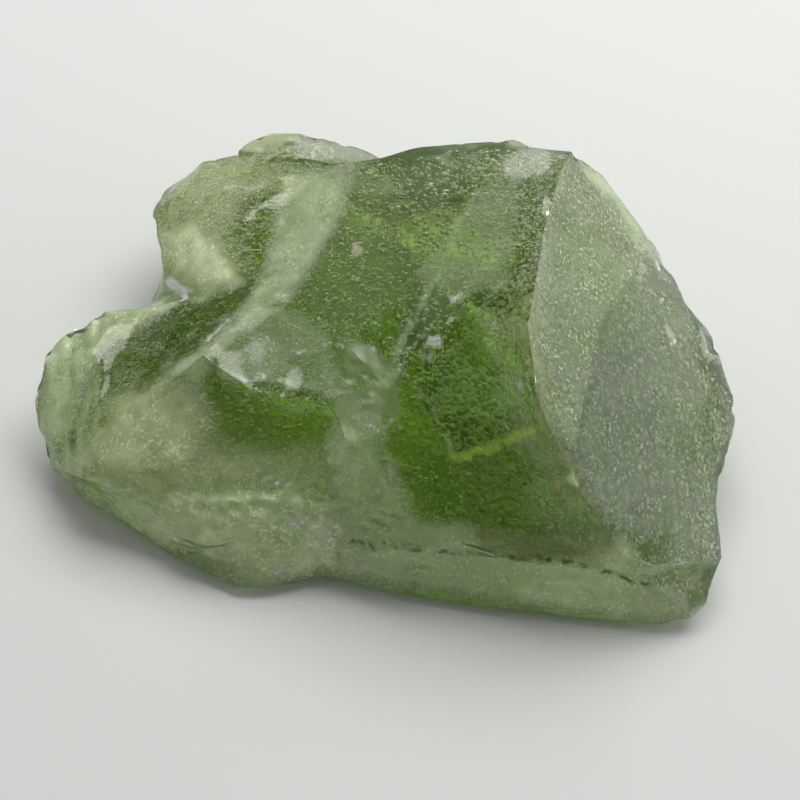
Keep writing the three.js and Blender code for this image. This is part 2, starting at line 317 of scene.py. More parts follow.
def fine_relief(points, faces, creases):
    """How far each point moves out along its normal, and the normals."""
    normals = point_normals(points, faces)
    above = np.clip(points[:, 2] / FULL_RELIEF_HEIGHT, 0, 1)
    from_crease = distance_to(points, points[np.unique(creases)])
    inner = np.clip(from_crease / FULL_RELIEF_INSET, 0, 1)
    chips = np.clip(wave_noise(points, EDGE_CHIPS) - CHIP_LEVEL, 0, 1)
    chips *= np.exp(-((from_crease / CHIP_REACH) ** 2))
    left_end = np.clip((LEFT_END_START - points[:, 0]) / LEFT_END_DEPTH, 0, 1)
    ribs = LEFT_END_RIBS.height * wave_noise(points, LEFT_END_RIBS) * left_end
    lift = (wave_sum(points, SWELL) * inner - EDGE_CHIPS.height * chips + ribs) * above
    lift += wave_sum(points, BACK_BREAKS) * facing(normals, BACK_WALL) * above * inner
    ridges = RIDGE_LIFT - RIDGES.height * np.abs(wave_noise(points, RIDGES))
    for outline in CRUSHED_SLOPES:
        share = smooth_step(outline_gap(points, outline), *RIDGE_EDGE_FADE)
        lift += ridges * share * above * inner
    return lift, normals


def stone_surface():
    """Corner points and triangles of the dressed stone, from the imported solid."""
    points, faces = packed_surface("obsidian")
    creases = find_creases(points, faces)
    points = wear(points, faces)
    for _ in range(REFINE_STEPS):
        points, faces, creases = refine(points, faces, creases)
    lift, normals = fine_relief(points, faces, creases)
    points = points + normals * lift[:, None]
    points[:, 2] = np.maximum(points[:, 2], 0)
    return points, faces


# ---------------------------------------------------------------- finish

# Colours of the glass and its films. The milky, cream, white and chalk ones also serve as painted
# reflection, painted glow, painted highlight and painted glint, and the moss, deep green and shaded
# ones are painted shade, where the notes below say so.
CLEAR = (1.0, 1.0, 1.0)
MILK_AND_PAINTED_SHEEN = (0.66, 0.77, 0.50)
WARM_MILK_AND_PAINTED_SHEEN = (0.67, 0.76, 0.46)
GREY_MILK_AND_PAINTED_SHEEN = (0.64, 0.72, 0.56)
PALE_CREAM_AND_PAINTED_GLOW = (0.82, 0.90, 0.56)
PALE_MILK_AND_PAINTED_LIGHT = (0.72, 0.86, 0.50)
CREAM_AND_PAINTED_GLOW = (0.88, 1.0, 0.60)
WHITE_AND_PAINTED_HIGHLIGHT = (0.82, 0.86, 0.74)
SEAM_GREEN = (0.10, 0.17, 0.05)
CHALK_AND_PAINTED_GLINT = (0.90, 0.92, 0.86)
BASE_SKIN = (0.80, 0.90, 0.70)
PAINTED_SHADE_GREEN = (0.32, 0.50, 0.14)
BACK_GREEN = (0.50, 0.62, 0.38)
PAINTED_SHADE_TINT = (0.66, 0.71, 0.42)
PAINTED_SHADE_MOSS = (0.56, 0.67, 0.32)
DEEP_PAINTED_SHADE_MOSS = (0.40, 0.45, 0.22)
PALE_GREEN = (0.60, 0.80, 0.40)
LEAF_GREEN = (0.45, 0.68, 0.08)
TAN = (0.62, 0.44, 0.26)

# How much a film hides the glass, how rough it is, and its colour. A film may be the glass's own
# milkiness or frost, or painted reflection, painted light or painted shade, as said where it is
# laid. A patch has an outline in plan and ends softly, and a mark runs along a line and may be
# broken up.
Film = namedtuple("Film", "veil frost colour")
Patch = namedtuple("Patch", "outline soft veil frost colour")
Mark = namedtuple("Mark", "line width veil frost colour broken", defaults=(0,))

# Films on the upper side: some milky or frosted, many partly or wholly painted reflection,
# painted light or painted shade.
PATCHES = [
    # The first broad band, from the top down to the left: partly a milky band, partly painted
    # reflection.
    Patch([(-8.5, 15), (-2.3, 14), (-3.6, 9), (-6.3, 4), (-8, 0.5), (-11.3, 1.5), (-9.8, 6)],
          0.8, 0.44, 0.20, MILK_AND_PAINTED_SHEEN),
    Patch([(-8, 0), (-11.5, -2), (-15, -6), (-18.5, -5.5), (-14.5, -2.5), (-11.2, 2)],
          0.8, 0.40, 0.20, MILK_AND_PAINTED_SHEEN),
    # The pale film on the lower left of the big scar, partly frost and partly painted reflection.
    Patch([(-25, -10), (-22.5, -7), (-18, -6), (-15.5, -7), (-14.5, -9), (-16, -12), (-24, -13)],
          2.0, 0.58, 0.20, WARM_MILK_AND_PAINTED_SHEEN),
    Patch([(-16, -9), (-11, -11), (-6, -12), (-3, -13), (-4, -16), (-16, -15), (-22, -14.5),
           (-22, -11.5)], 1.2, 0.23, 0.20, WARM_MILK_AND_PAINTED_SHEEN),
    # Painted shade in the dark hollow beside it, on the left.
    Patch([(-16, 1), (-19.5, 1), (-22.5, -1.5), (-25, -5), (-26, -9), (-24, -10.5), (-22, -7.5),
           (-18.5, -5.5), (-15.5, -3)], 0.6, 0.0, 0.02, PAINTED_SHADE_MOSS),
    # The second band, a smooth wedge under the crest: a painted reflection.
    Patch([(9.5, 9.5), (11.5, 8.5), (10.4, -4), (5.5, -2.5), (2.8, 0.8), (5.5, 3.6)],
          0.2, 0.15, 0.10, MILK_AND_PAINTED_SHEEN),
    # The haze along the far edge of the top, partly frost and partly painted reflection.
    Patch([(-2, 16), (16, 16), (16, 6), (8, 7), (0, 11)], 2.0, 0.13, 0.08, MILK_AND_PAINTED_SHEEN),
    # The thin flake between the bands, partly painted reflection, and the crushed edge below it.
    Patch([(-14.5, -3), (-11, 1.5), (-7.5, 0), (-4, -4), (-3, -9), (-7.5, -7.8), (-13.5, -6)],
          0.4, 0.18, 0.10, MILK_AND_PAINTED_SHEEN),
    Patch([(-3.4, -4.5), (-0.5, -6), (1.5, -8.5), (1.5, -12), (-1.7, -11), (-2.9, -8)],
          0.6, 0.18, 0.30, MILK_AND_PAINTED_SHEEN),
    # The lobe on the upper left, a milky film with a painted glow of the light through it, and a
    # pool of painted light gathered at its foot.
    Patch([(-20.5, 11), (-18, 19), (-13, 23), (-8, 13.5), (-12, 13), (-13.5, 10), (-12, 5.5),
           (-15.5, 3.5), (-19, 7)], 1.6, 0.27, 0.04, PALE_CREAM_AND_PAINTED_GLOW),
    Patch([(-19.8, 11.5), (-17, 11), (-14.5, 8), (-12.2, 4.5), (-15.5, 3.8), (-18.3, 6.8)],
          1.3, 0.80, 0.04, CREAM_AND_PAINTED_GLOW),
    # The lump at the back: painted shade on its left part, and a pale film on its right.
    Patch([(-14, 20), (-7.5, 20), (-7.5, 27), (-14, 27)], 0.6, 0.10, 0.20, DEEP_PAINTED_SHADE_MOSS),
    Patch([(-8, 20.5), (-5, 19.5), (1, 16), (2, 19), (-3, 27), (-8, 27)],
          0.8, 0.36, 0.15, WHITE_AND_PAINTED_HIGHLIGHT),
    # The left end, partly frost and partly painted reflection.
    Patch([(-29.5, -6), (-28.5, 0), (-25, 2.5), (-20, 6), (-16, 5), (-20, 2), (-23.5, -0.5),
           (-25.5, -4), (-26.5, -9), (-29, -8)], 0.8, 0.44, 0.15, PALE_MILK_AND_PAINTED_LIGHT),
    # The slopes along the front, left and middle: pale films, partly frost and partly painted
    # reflection.
    Patch([(-24, -13), (-18, -14), (-13, -14.5), (-7, -15), (-3.5, -16), (-3.5, -21), (-10, -22),
           (-17, -20), (-25, -16)], 0.8, 0.62, 0.20, PALE_MILK_AND_PAINTED_LIGHT),
    Patch([(-4, -9), (1.5, -8.3), (0, -11), (0.2, -14.5), (2.5, -17.5), (5, -20.5), (-3.5, -20),
           (-4.2, -14)], 1.0, 0.43, 0.20, MILK_AND_PAINTED_SHEEN),
    Patch([(8, -21), (20, -20), (22, -26), (8, -26)], 1.5, 0.60, 0.20, PALE_MILK_AND_PAINTED_LIGHT),
    # Painted shade on the lower right of the dark face and on its dark edge under the crest, and a
    # paler patch at its top.
    Patch([(6, -4.5), (12, -4.5), (14, -15), (11, -13), (8, -9.5), (6, -8)],
          0.5, 0.0, 0.04, PAINTED_SHADE_MOSS),
    Patch([(6, -12), (9, -11), (12.5, -13), (15, -16), (19, -20.5), (12, -20.3), (8, -19),
           (7, -16)], 0.7, 0.0, 0.04, DEEP_PAINTED_SHADE_MOSS),
    Patch([(4, -8), (8, -9), (11, -12.5), (8, -12.5), (5, -11)], 1.0, 0.06, 0.04, PALE_GREEN),
]

# Painted shade and painted light on the underside, which show through the glass: painted shade
# below the dark face, and pale patches of painted light where light gathers.
PAINTED_BASE_LIGHT_AND_SHADE = [
    Patch([(5, 4), (20, 2), (21, -14), (9, -16), (3, -8)], 2.5, 0.0, 0.5, PAINTED_SHADE_GREEN),
    Patch([(-20, 3), (-21, 12), (-14, 21), (-8, 15), (-10, 4)], 1.5, 0.6, 0.5, CREAM_AND_PAINTED_GLOW),
    Patch([(-5, 2), (-4, 11), (4, 10), (4, 0)], 2.0, 0.35, 0.5, CREAM_AND_PAINTED_GLOW),
]

# Narrow marks on the surface: thin cracks, crushed white spots and flecks of other mineral,
# with painted glints, painted highlights and painted streaks of light among them.
MARKS = [
    Mark([(1.8, -8.4, 15.4), (4.2, -11, 13.8), (6, -14.2, 11.4)], 0.20, 0.35, 0.1, PALE_GREEN),
    Mark([(6, -14.2, 11.6), (9, -14.4, 13), (12, -14.4, 15.6)], 0.50, 0.65, 0.1, LEAF_GREEN),
    Mark([(-14.8, -3, 11), (-11.2, 2, 12.3)], 0.15, 0.6, 0.2, CHALK_AND_PAINTED_GLINT),
    Mark([(-13.9, -5, 10.8), (-11.5, -6.5, 11.8)], 0.25, 0.5, 0.2, CHALK_AND_PAINTED_GLINT),
    Mark([(5.8, -3, 18), (7.2, -3.8, 18.5)], 0.60, 0.5, 0.4, CHALK_AND_PAINTED_GLINT, 1),
    Mark([(4.2, -6.6, 17.1), (3.6, -8, 16.4)], 0.55, 0.5, 0.4, CHALK_AND_PAINTED_GLINT, 1),
    Mark([(9, -7.1, 20), (9.2, -7.6, 19.9)], 0.35, 0.5, 0.4, CHALK_AND_PAINTED_GLINT, 1),
    Mark([(10.1, -11.3, 17.9), (11.2, -12.3, 18.6)], 0.35, 0.6, 0.4, CHALK_AND_PAINTED_GLINT, 1),
    # Painted glints on the crest.
    Mark([(11.6, -12.3, 19.5), (11.9, -12.8, 19.2)], 0.18, 0.9, 0.1, CHALK_AND_PAINTED_GLINT),
    Mark([(11.8, -13.3, 18.4), (12.1, -13.6, 18.2)], 0.18, 0.9, 0.1, CHALK_AND_PAINTED_GLINT),
    Mark([(-8.4, -19.4, 1.6), (-7.6, -19.5, 2)], 0.60, 0.4, 0.4, CHALK_AND_PAINTED_GLINT, 1),
    Mark([(-9.5, -14, 7.4), (-8.2, -14.6, 8)], 0.45, 0.35, 0.4, CHALK_AND_PAINTED_GLINT, 1),
    Mark([(-2.1, 5.2, 14.5), (-2.1, 4.4, 14.5)], 0.22, 0.8, 0.4, TAN),
    Mark([(3.6, -1, 16.8), (3.9, -1.4, 16.9)], 0.20, 0.7, 0.4, CREAM_AND_PAINTED_GLOW),
    Mark([(15, -17.9, 13.8), (15.2, -18.4, 13.4)], 0.35, 0.6, 0.4, CREAM_AND_PAINTED_GLOW),
    Mark([(13.9, -17.7, 12.9), (13.4, -18.3, 12)], 0.30, 0.5, 0.4, TAN),
    Mark([(23.6, 6.5, 10.7), (23.7, 6, 10.6)], 0.22, 0.7, 0.4, CHALK_AND_PAINTED_GLINT),
    Mark([(24.3, 0.4, 9.7), (24.7, -1.3, 9.2)], 0.38, 0.45, 0.4, WHITE_AND_PAINTED_HIGHLIGHT),
    Mark([(22.4, 5.2, 11.6), (22, 3.6, 11.9)], 0.25, 0.4, 0.4, WHITE_AND_PAINTED_HIGHLIGHT),
    # Curls and streaks in the crushed edge, on the big scar and on the slopes below it, partly
    # crushed glass and partly painted highlight.
    Mark([(-3.4, -8.4, 13.4), (-2, -8.2, 13.8), (-0.7, -8.6, 14.3)], 0.16, 0.6, 0.2, WHITE_AND_PAINTED_HIGHLIGHT),
    Mark([(-2.5, -9.7, 13), (-1, -9.9, 13.4), (0.3, -10.6, 13.6)], 0.18, 0.6, 0.2, WHITE_AND_PAINTED_HIGHLIGHT),
    Mark([(-1.6, -11.4, 11.9), (1.1, -11.9, 12.6)], 0.45, 0.5, 0.2, WHITE_AND_PAINTED_HIGHLIGHT, 1),
    Mark([(-6.8, -4.4, 12.5), (-5, -4.2, 13.4), (-3, -5.2, 14.5)], 0.15, 0.5, 0.2, WHITE_AND_PAINTED_HIGHLIGHT),
    Mark([(-11.3, -7.5, 10.6), (-9.2, -6.6, 11.9), (-4.2, -8.5, 13.1)], 0.15, 0.6, 0.2, WHITE_AND_PAINTED_HIGHLIGHT),
    Mark([(-5.2, -12.8, 9.2), (-4, -13.2, 9.8), (-3.5, -14.4, 10.1)], 0.18, 0.7, 0.2, WHITE_AND_PAINTED_HIGHLIGHT),
    Mark([(-19.1, -13.5, 7), (-16.7, -13.2, 6.8)], 0.30, 0.6, 0.2, WHITE_AND_PAINTED_HIGHLIGHT, 1),
    Mark([(-17.5, -14.2, 6.2), (-14.9, -15.2, 7.2), (-12, -16, 7.6)], 0.20, 0.5, 0.2, WHITE_AND_PAINTED_HIGHLIGHT),
    Mark([(-16.3, -14.7, 5), (-14.6, -15.4, 5)], 0.30, 0.5, 0.2, WHITE_AND_PAINTED_HIGHLIGHT, 1),
    Mark([(-7.5, -16.4, 5.4), (-5.2, -16.7, 5.8), (-3.8, -17.4, 5.4)], 0.70, 0.6, 0.2, CHALK_AND_PAINTED_GLINT, 1),
    Mark([(-6.7, -18.1, 4.2), (-4.5, -18, 4.6)], 0.45, 0.5, 0.2, CHALK_AND_PAINTED_GLINT, 1),
    # The dark seam above the front strip, with bright flecks along it.
    Mark([(-2.4, -18.2, 4.9), (1.5, -19.2, 5.5), (5.6, -19.6, 5.5), (9.7, -20.1, 5.7),
          (14.5, -20.9, 6.1), (18.6, -21.5, 5.4), (22, -22.2, 4.2)],
         0.22, 0.55, 0.2, SEAM_GREEN, 1),
    Mark([(-2.4, -18.6, 4.2), (1.5, -19.5, 4.9), (5.6, -19.9, 4.7), (9.7, -20.5, 5.2),
          (14.5, -21.3, 5.5), (18.6, -21.8, 4.8), (22, -22.5, 3.5)],
         0.18, 0.45, 0.2, WHITE_AND_PAINTED_HIGHLIGHT, 1),
    # The thin pale line along the left of the second band, the edge of its painted reflection.
    Mark([(10.2, 10.5, 20.3), (7.5, 6, 18.9), (4.7, 0, 17.3), (1.2, -7.3, 15.3)],
         0.25, 0.22, 0.1, PALE_MILK_AND_PAINTED_LIGHT),
    # Painted streaks of light at the foot of the upper left lobe, and a painted highlight on the
    # bevel in the notch.
    Mark([(-16.6, 8.8, 10.4), (-14.9, 6.4, 10.9)], 0.30, 0.6, 0.05, CREAM_AND_PAINTED_GLOW),
    Mark([(-15.4, 8.6, 11), (-13.4, 5.6, 11.1)], 0.22, 0.9, 0.05, CREAM_AND_PAINTED_GLOW),
    Mark([(-16.9, 7.4, 9.8), (-15.2, 5.2, 10.2)], 0.30, 0.6, 0.05, CREAM_AND_PAINTED_GLOW),
    Mark([(-15.4, 6.6, 10.7), (-13.4, 4.8, 10.8)], 0.25, 0.8, 0.05, CREAM_AND_PAINTED_GLOW),
    Mark([(-19, 6.9, 7.9), (-18, 5.8, 8.2), (-17, 4.5, 8.5)], 0.45, 0.9, 0.05, CHALK_AND_PAINTED_GLINT),
]

# Sides of the stone that have a film of their own, and the strip of the right face beside the
# crest. The films on the right face and the front strip are partly frost and partly painted
# reflection, the dark face gets painted shade, and the left rim gets painted light.
UPPER_RIGHT = Side((0.73, -0.15, 0.66), 0.86, 0.95)
LOWER_RIGHT = Side((1, -0.2, 0.25), 0.75, 0.9)
BESIDE_CREST = Film(0.22, 0.14, MILK_AND_PAINTED_SHEEN)
BEYOND_CREST = Film(0.13, 0.16, GREY_MILK_AND_PAINTED_SHEEN)
DARK_FACE = Side((-0.4, -0.75, 0.5), 0.8, 0.92)
PAINTED_SHADE_FILM = Film(0.0, 0.0, PAINTED_SHADE_TINT)
FRONT_STRIP = Side((0, -0.9, 0.4), 0.7, 0.9)
STRIP_FILM_AND_PAINTED_SHEEN = Film(0.42, 0.15, MILK_AND_PAINTED_SHEEN)
LEFT_RIM = Side((-1, 0.3, 0), 0.3, 0.6)
RIM_PAINTED_LIGHT = Film(0.35, 0.15, PALE_MILK_AND_PAINTED_LIGHT)
BACK_SIDE = Side((0.3, 1, 0.2), 0.55, 0.75)
BACK_FILM = Film(0.06, 0.35, BACK_GREEN)
UNDERSIDE = Side((0, 0, -1), -0.25, 0.1)
BASE_FILM = Film(0.0, 0.5, BASE_SKIN)
CREST_STRIP = [(12, 18), (23.5, 8), (18, -4), (15.5, -16), (12, -16), (8, 0)]

# The bare glass. The colour of a film is full where its mask has reached 1 / TINT_SPREAD.
BARE_FROST = 0.04
BARE_SPECKLE = 0.30
TINT_SPREAD = 1.5

# Films are thicker and thinner in places. Their edges wander, and those of marks wander more.
Wobble = namedtuple("Wobble", "reach size seeds")
CLOUDING = (Waves(0.35, 0.9, 14), Waves(0.30, 3.0, 15))
FILM_WOBBLE = Wobble(0.35, 1.6, (11, 12, 13))
MARK_WOBBLE = Wobble(0.3, 0.6, (16, 17, 18))

# A mark fades over this much on either side of its edge, and a broken one shows only in chips.
MARK_EDGE = 0.15
MARK_CHIPS = Waves(1, 0.55, 19)
MARK_CHIP_LEVELS = (-0.05, 0.2)

# Where films begin and are full: by how far up a face looks, by height, along x, and by the gap to
# an outline.
UPWARD_LEVELS = (-0.1, 0.1)
STRIP_TOP_HEIGHTS = (7.0, 8.0)
FOOT_HEIGHTS = (0.4, 2.4)
RIM_HEIGHTS = (1.5, 3)
BASE_FILM_HEIGHTS = (0.6, 0.2)
BASE_PATCH_HEIGHTS = (1.5, 0.5)
RIM_EDGE_FADE = (-22, -24)
CREST_EDGE_FADE = (0.5, -0.5)


def wander(points, wobble):
    """How far each point strays, by noise of its own for each coordinate."""
    noises = [noise_at(points, wobble.size, seed) for seed in wobble.seeds]
    return wobble.reach * np.stack(noises, axis=1)


class Finish:
    """How milky, how rough, how speckled and what colour the surface is at each point. Its films
    include painted light, painted reflection and painted shade.
    """

    def __init__(self, count):
        self.veil = np.zeros(count)
        self.frost = np.full(count, BARE_FROST)
        self.speckle = np.full(count, BARE_SPECKLE)
        self.colour = np.tile(np.array(CLEAR), (count, 1))

    def cover(self, mask, film, speckle=0):
        """Lays a film, patch or mark where the mask is above 0."""
        self.veil = np.maximum(self.veil, film.veil * mask)
        self.frost = np.maximum(self.frost, film.frost * mask)
        self.speckle = np.maximum(self.speckle, speckle * mask)
        share = np.clip(mask * TINT_SPREAD, 0, 1)[:, None]
        self.colour = self.colour * (1 - share) + np.array(film.colour) * share


def cover_sides(finish, normals, loose, heights):
    """Lays films on the right face, which is lighter beside its crest, and on the front strip, both
    partly frost and partly painted reflection, and painted shade on the dark face.
    """
    right = np.maximum(facing(normals, UPPER_RIGHT), facing(normals, LOWER_RIGHT))
    beside_crest = smooth_step(outline_gap(loose, CREST_STRIP), *CREST_EDGE_FADE)
    finish.cover(right * beside_crest, BESIDE_CREST, 1)
    finish.cover(right * (1 - beside_crest), BEYOND_CREST, 1)
    upper = smooth_step(heights, *STRIP_TOP_HEIGHTS)
    finish.cover(facing(normals, DARK_FACE) * upper, PAINTED_SHADE_FILM)
    above_foot = smooth_step(heights, *FOOT_HEIGHTS)
    finish.cover(above_foot * (1 - upper) * facing(normals, FRONT_STRIP), STRIP_FILM_AND_PAINTED_SHEEN)


def cover_patches(finish, patches, shown, loose, thickness):
    """Lays patches on the part of the stone where shown is above 0."""
    for patch in patches:
        mask = shown * smooth_step(outline_gap(loose, patch.outline), patch.soft, -patch.soft)
        finish.cover(mask * thickness, patch)


def cover_marks(finish, loose, points):
    """Lays the marks, with ragged edges and some of them broken up."""
    ragged = loose + wander(points, MARK_WOBBLE)
    chips = smooth_step(wave_noise(points, MARK_CHIPS), *MARK_CHIP_LEVELS)
    for mark in MARKS:
        gap = line_gap(ragged, mark.line)
        mask = smooth_step(gap, mark.width + MARK_EDGE, mark.width - MARK_EDGE)
        finish.cover(mask * chips if mark.broken else mask, mark, mark.broken)


# Painted light on the left rim, which lightens its dark edge, and a rough film on the back.
def cover_rim_and_back(finish, normals, points):
    rim = facing(normals, LEFT_RIM) * smooth_step(points[:, 0], *RIM_EDGE_FADE)
    finish.cover(rim * smooth_step(points[:, 2], *RIM_HEIGHTS), RIM_PAINTED_LIGHT)
    finish.cover(facing(normals, BACK_SIDE), BACK_FILM)


def stone_finish(points, faces):
    """The finish at each point of the stone, film over film, painted light and shade among them."""
    normals = point_normals(points, faces)
    heights = points[:, 2]
    loose = points + wander(points, FILM_WOBBLE)
    finish = Finish(len(points))
    cover_sides(finish, normals, loose, heights)
    upward = smooth_step(normals[:, 2], *UPWARD_LEVELS)
    shown = smooth_step(heights, *FOOT_HEIGHTS) * upward
    cover_patches(finish, PATCHES, shown, loose, wave_sum(points, CLOUDING, 1))
    cover_marks(finish, loose, points)
    cover_rim_and_back(finish, normals, points)
    underside = facing(normals, UNDERSIDE)
    finish.cover(np.maximum(underside, smooth_step(heights, *BASE_FILM_HEIGHTS)), BASE_FILM)
    # Painted shade and painted light on the underside.
    cover_patches(finish, PAINTED_BASE_LIGHT_AND_SHADE, smooth_step(heights, *BASE_PATCH_HEIGHTS), loose, 1)
    return finish


def store_finish(piece, faces, finish):
    """Keeps the finish on the piece's face corners, where its material reads it."""
    corners = faces.ravel()
    for name in ("veil", "frost", "speckle"):
        values = getattr(finish, name)
        layer = piece.data.attributes.new(name, "FLOAT", "CORNER")
        layer.data.foreach_set("value", np.clip(values, 0, 1)[corners].astype(np.float32))
    layer = piece.data.color_attributes.new(name="tint", type="FLOAT_COLOR", domain="CORNER")
    colours = np.concatenate([finish.colour[corners], np.ones((len(corners), 1))], axis=1)
    layer.data.foreach_set("color", colours.astype(np.float32).ravel())


# ---------------------------------------------------------------- materials

# The glass absorbs light at the density times 1 minus the colour, per metre.
GLASS_IOR = 1.5
ABSORPTION_COLOUR = (0.58, 0.74, 0.0, 1)
ABSORPTION_DENSITY = 110.0

# The frost is added to this roughness.
GLASS_ROUGHNESS = 0.04

TABLE_COLOUR = (0.80, 0.81, 0.785, 1)
TABLE_ROUGHNESS = 0.8
TABLE_SHINE = 0.1

# A ramp goes from its start to its end as noise goes from low to high.
Ramp = namedtuple("Ramp", "low high start end")

# The grain of the surface, in mm. It makes films thinner in dark specks and thicker in pale ones,
# which crowd together in places, and it stands out a little.
GRAIN_SIZE = 0.28
GRAIN_DETAIL = 1.5
DARK_SPECKS = Ramp(0.28, 0.45, -0.8, -0.1)
PALE_SPECKS = Ramp(0.56, 0.68, 0.0, 2.0)
CROWD_SIZE = 1.8
CROWD_DETAIL = 1.0
CROWDING = Ramp(0.35, 0.65, 0.35, 1.25)
BUMP_STRENGTH = 0.35
BUMP_HEIGHT = 0.1


class Shader:
    """A material's node tree, with short calls for the nodes that the patterns use."""

    def __init__(self, name):
        self.material = bpy.data.materials.new(name)
        self.material.use_nodes = True
        self.tree = self.material.node_tree
        self.surface = self.tree.nodes["Principled BSDF"]
        self.output = self.tree.nodes["Material Output"]

    def node(self, kind, **settings):
        made = self.tree.nodes.new("ShaderNode" + kind)
        for name, value in settings.items():
            setattr(made, name, value)
        return made

    def feed(self, socket, value):
        """Links a socket, or sets a plain number, colour or vector."""
        if isinstance(value, bpy.types.NodeSocket):
            self.tree.links.new(value, socket)
        else:
            socket.default_value = value

    def set(self, name, value):
        """Feeds an input of the surface."""
        self.feed(self.surface.inputs[name], value)

    def math(self, operation, a, b=0.0):
        made = self.node("Math", operation=operation)
        self.feed(made.inputs[0], a)
        self.feed(made.inputs[1], b)
        return made.outputs[0]

    def times(self, first, *others):
        for other in others:
            first = self.math("MULTIPLY", first, other)
        return first

    def plus(self, first, *others):
        for other in others:
            first = self.math("ADD", first, other)
        return first

    def scaled(self, vector, factor):
        made = self.node("VectorMath", operation="SCALE")
        self.feed(made.inputs[0], vector)
        self.feed(made.inputs["Scale"], factor)
        return made.outputs[0]

    def ramp(self, value, ramp):
        """A smooth step along the ramp."""
        made = self.node("MapRange", interpolation_type="SMOOTHSTEP")
        self.feed(made.inputs["Value"], value)
        self.feed(made.inputs["From Min"], ramp.low)
        self.feed(made.inputs["From Max"], ramp.high)
        self.feed(made.inputs["To Min"], ramp.start)
        self.feed(made.inputs["To Max"], ramp.end)
        return made.outputs[0]

    def clouds(self, place, size, detail):
        """Noise from 0 to 1 with features about size mm wide."""
        made = self.node("TexNoise")
        self.feed(made.inputs["Vector"], place)
        self.feed(made.inputs["Scale"], 1 / size)
        self.feed(made.inputs["Detail"], detail)
        return made.outputs[0]

    def stored(self, name, output):
        """A value that the mesh holds at each face corner."""
        return self.node("Attribute", attribute_name=name).outputs[output]


def add_absorption(shader):
    volume = shader.node("VolumeAbsorption")
    volume.inputs["Color"].default_value = ABSORPTION_COLOUR
    volume.inputs["Density"].default_value = ABSORPTION_DENSITY
    shader.tree.links.new(volume.outputs["Volume"], shader.output.inputs["Volume"])


def hollow_material():
    shader = Shader("bubble_hollow")
    shader.set("Base Color", WHITE)
    shader.set("Roughness", 0.0)
    shader.set("IOR", GLASS_IOR)
    shader.set("Transmission Weight", 1)
    return shader.material


def stone_material():
    shader = Shader("green_glass")
    place = shader.scaled(shader.node("TexCoord").outputs["Object"], MM_PER_METRE)
    grain = shader.clouds(place, GRAIN_SIZE, GRAIN_DETAIL)
    crowding = shader.ramp(shader.clouds(place, CROWD_SIZE, CROWD_DETAIL), CROWDING)
    specks = shader.plus(shader.ramp(grain, DARK_SPECKS), shader.ramp(grain, PALE_SPECKS))
    speckle = shader.stored("speckle", "Fac")
    specks = shader.times(specks, speckle, crowding)
    veil = shader.times(shader.stored("veil", "Fac"), shader.plus(1.0, specks))
    clear = shader.math("SUBTRACT", 1.0, shader.math("MINIMUM", veil, 1.0))

    shader.set("Base Color", shader.stored("tint", "Color"))
    shader.set("Roughness", shader.plus(GLASS_ROUGHNESS, shader.stored("frost", "Fac")))
    shader.set("Transmission Weight", clear)
    shader.set("IOR", GLASS_IOR)

    bump = shader.node("Bump")
    bump.inputs["Strength"].default_value = BUMP_STRENGTH
    bump.inputs["Distance"].default_value = BUMP_HEIGHT / MM_PER_METRE
    shader.feed(bump.inputs["Height"], shader.times(grain, speckle))
    shader.set("Normal", bump.outputs["Normal"])
    add_absorption(shader)
    return shader.material


def table_material():
    shader = Shader("table_paper")
    shader.set("Base Color", TABLE_COLOUR)
    shader.set("Roughness", TABLE_ROUGHNESS)
    shader.set("Specular IOR Level", TABLE_SHINE)
    return shader.material


# ---------------------------------------------------------------- bubbles

# Smallest and largest radius and mean depth in mm. A ball of 0 steps has 20 faces, and each step
# makes four of one.
Kind = namedtuple("Kind", "name count smallest largest depth steps seed")
BUBBLE_KINDS = (
    Kind("fine_bubbles_a", 9500, 0.09, 0.15, 0.4, 0, 1),
    Kind("fine_bubbles_b", 9500, 0.10, 0.17, 1.2, 0, 6),
    Kind("bubbles_a", 2450, 0.13, 0.25, 0.5, 1, 3),
    Kind("bubbles_b", 2450, 0.15, 0.28, 2.0, 1, 4),
    Kind("large_bubbles", 110, 0.2, 0.38, 3.0, 2, 5),
)

# Bubbles keep clear of the surface. They are stretched along x, and behind the right face along y.
BUBBLE_CLEARANCE = 0.06
LONGEST_STRETCH = 1.6
RIGHT_FACE_START = 15.0

# Bubbles are fewer on the faces out of view, and most crowded within the froths' outlines.
VIEWED_FROM = (0, -0.57, 0.82)
UNSEEN_SHARE = 0.3
FROTH_SHARE = 2.6
FROTHS = (
    [(6, 14), (14, 12), (13.5, -2), (13, -13), (16, -19), (8, -19), (4.5, -13), (3.5, -8),
     (8, -5), (10, -1)],
    [(-20, 11), (-17, 20), (-11, 22), (-6, 16), (-8, 8), (-12, 4), (-17, 5)],
    [(-16, 1), (-22, -1), (-26, -8), (-22, -8), (-16, -4)],
)


